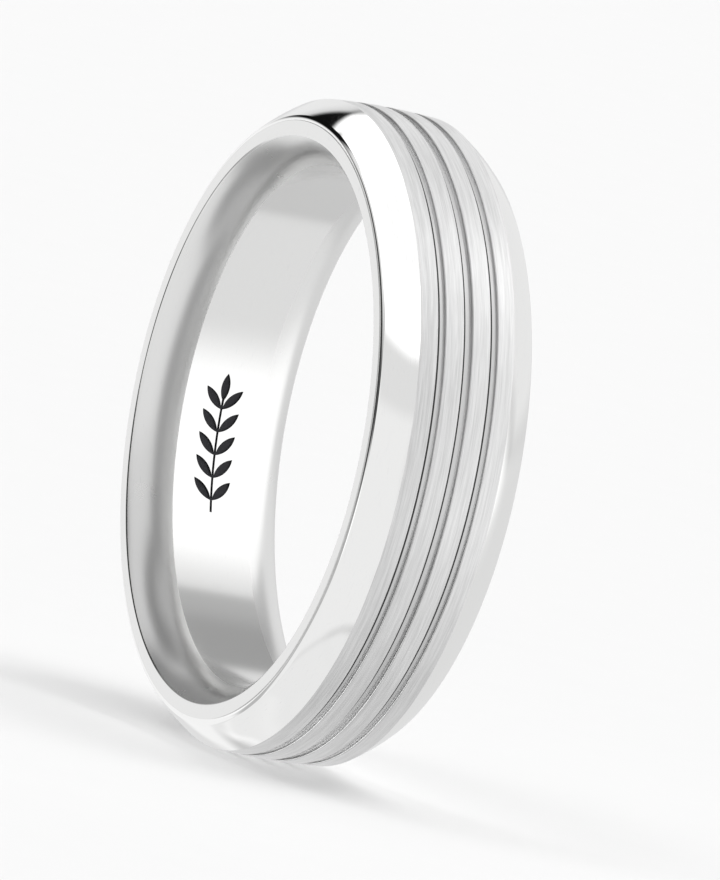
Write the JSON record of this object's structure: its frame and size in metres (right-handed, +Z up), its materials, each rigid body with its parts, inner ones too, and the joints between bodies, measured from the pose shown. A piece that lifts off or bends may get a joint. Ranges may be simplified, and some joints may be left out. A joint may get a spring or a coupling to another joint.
{
  "type": "wedding band",
  "caption": "Comfort-fit wedding band with a grooved satin centre between polished bevelled shoulders and narrow flat rims.",
  "frame": {"origin": "centre of the finger bore, halfway across the band's width", "axes": "+Y along the finger axis, away from the front rim; +Z up with the band standing on its edge; the leaf sprig engraved in the bore is on the -X side"},
  "size_m": [0.0238, 0.006, 0.0238],
  "materials": {
    "polished_platinum": "mirror polish",
    "satin_platinum": "circumferential satin brushing, with smooth bright groove floors"
  },
  "bodies": {
    "root": {"liner_sleeve": "polished_platinum", "front_shoulder_ring": "polished_platinum", "grooved_centre_band": "satin_platinum", "rear_shoulder_ring": "polished_platinum"}
  },
  "joints": []
}
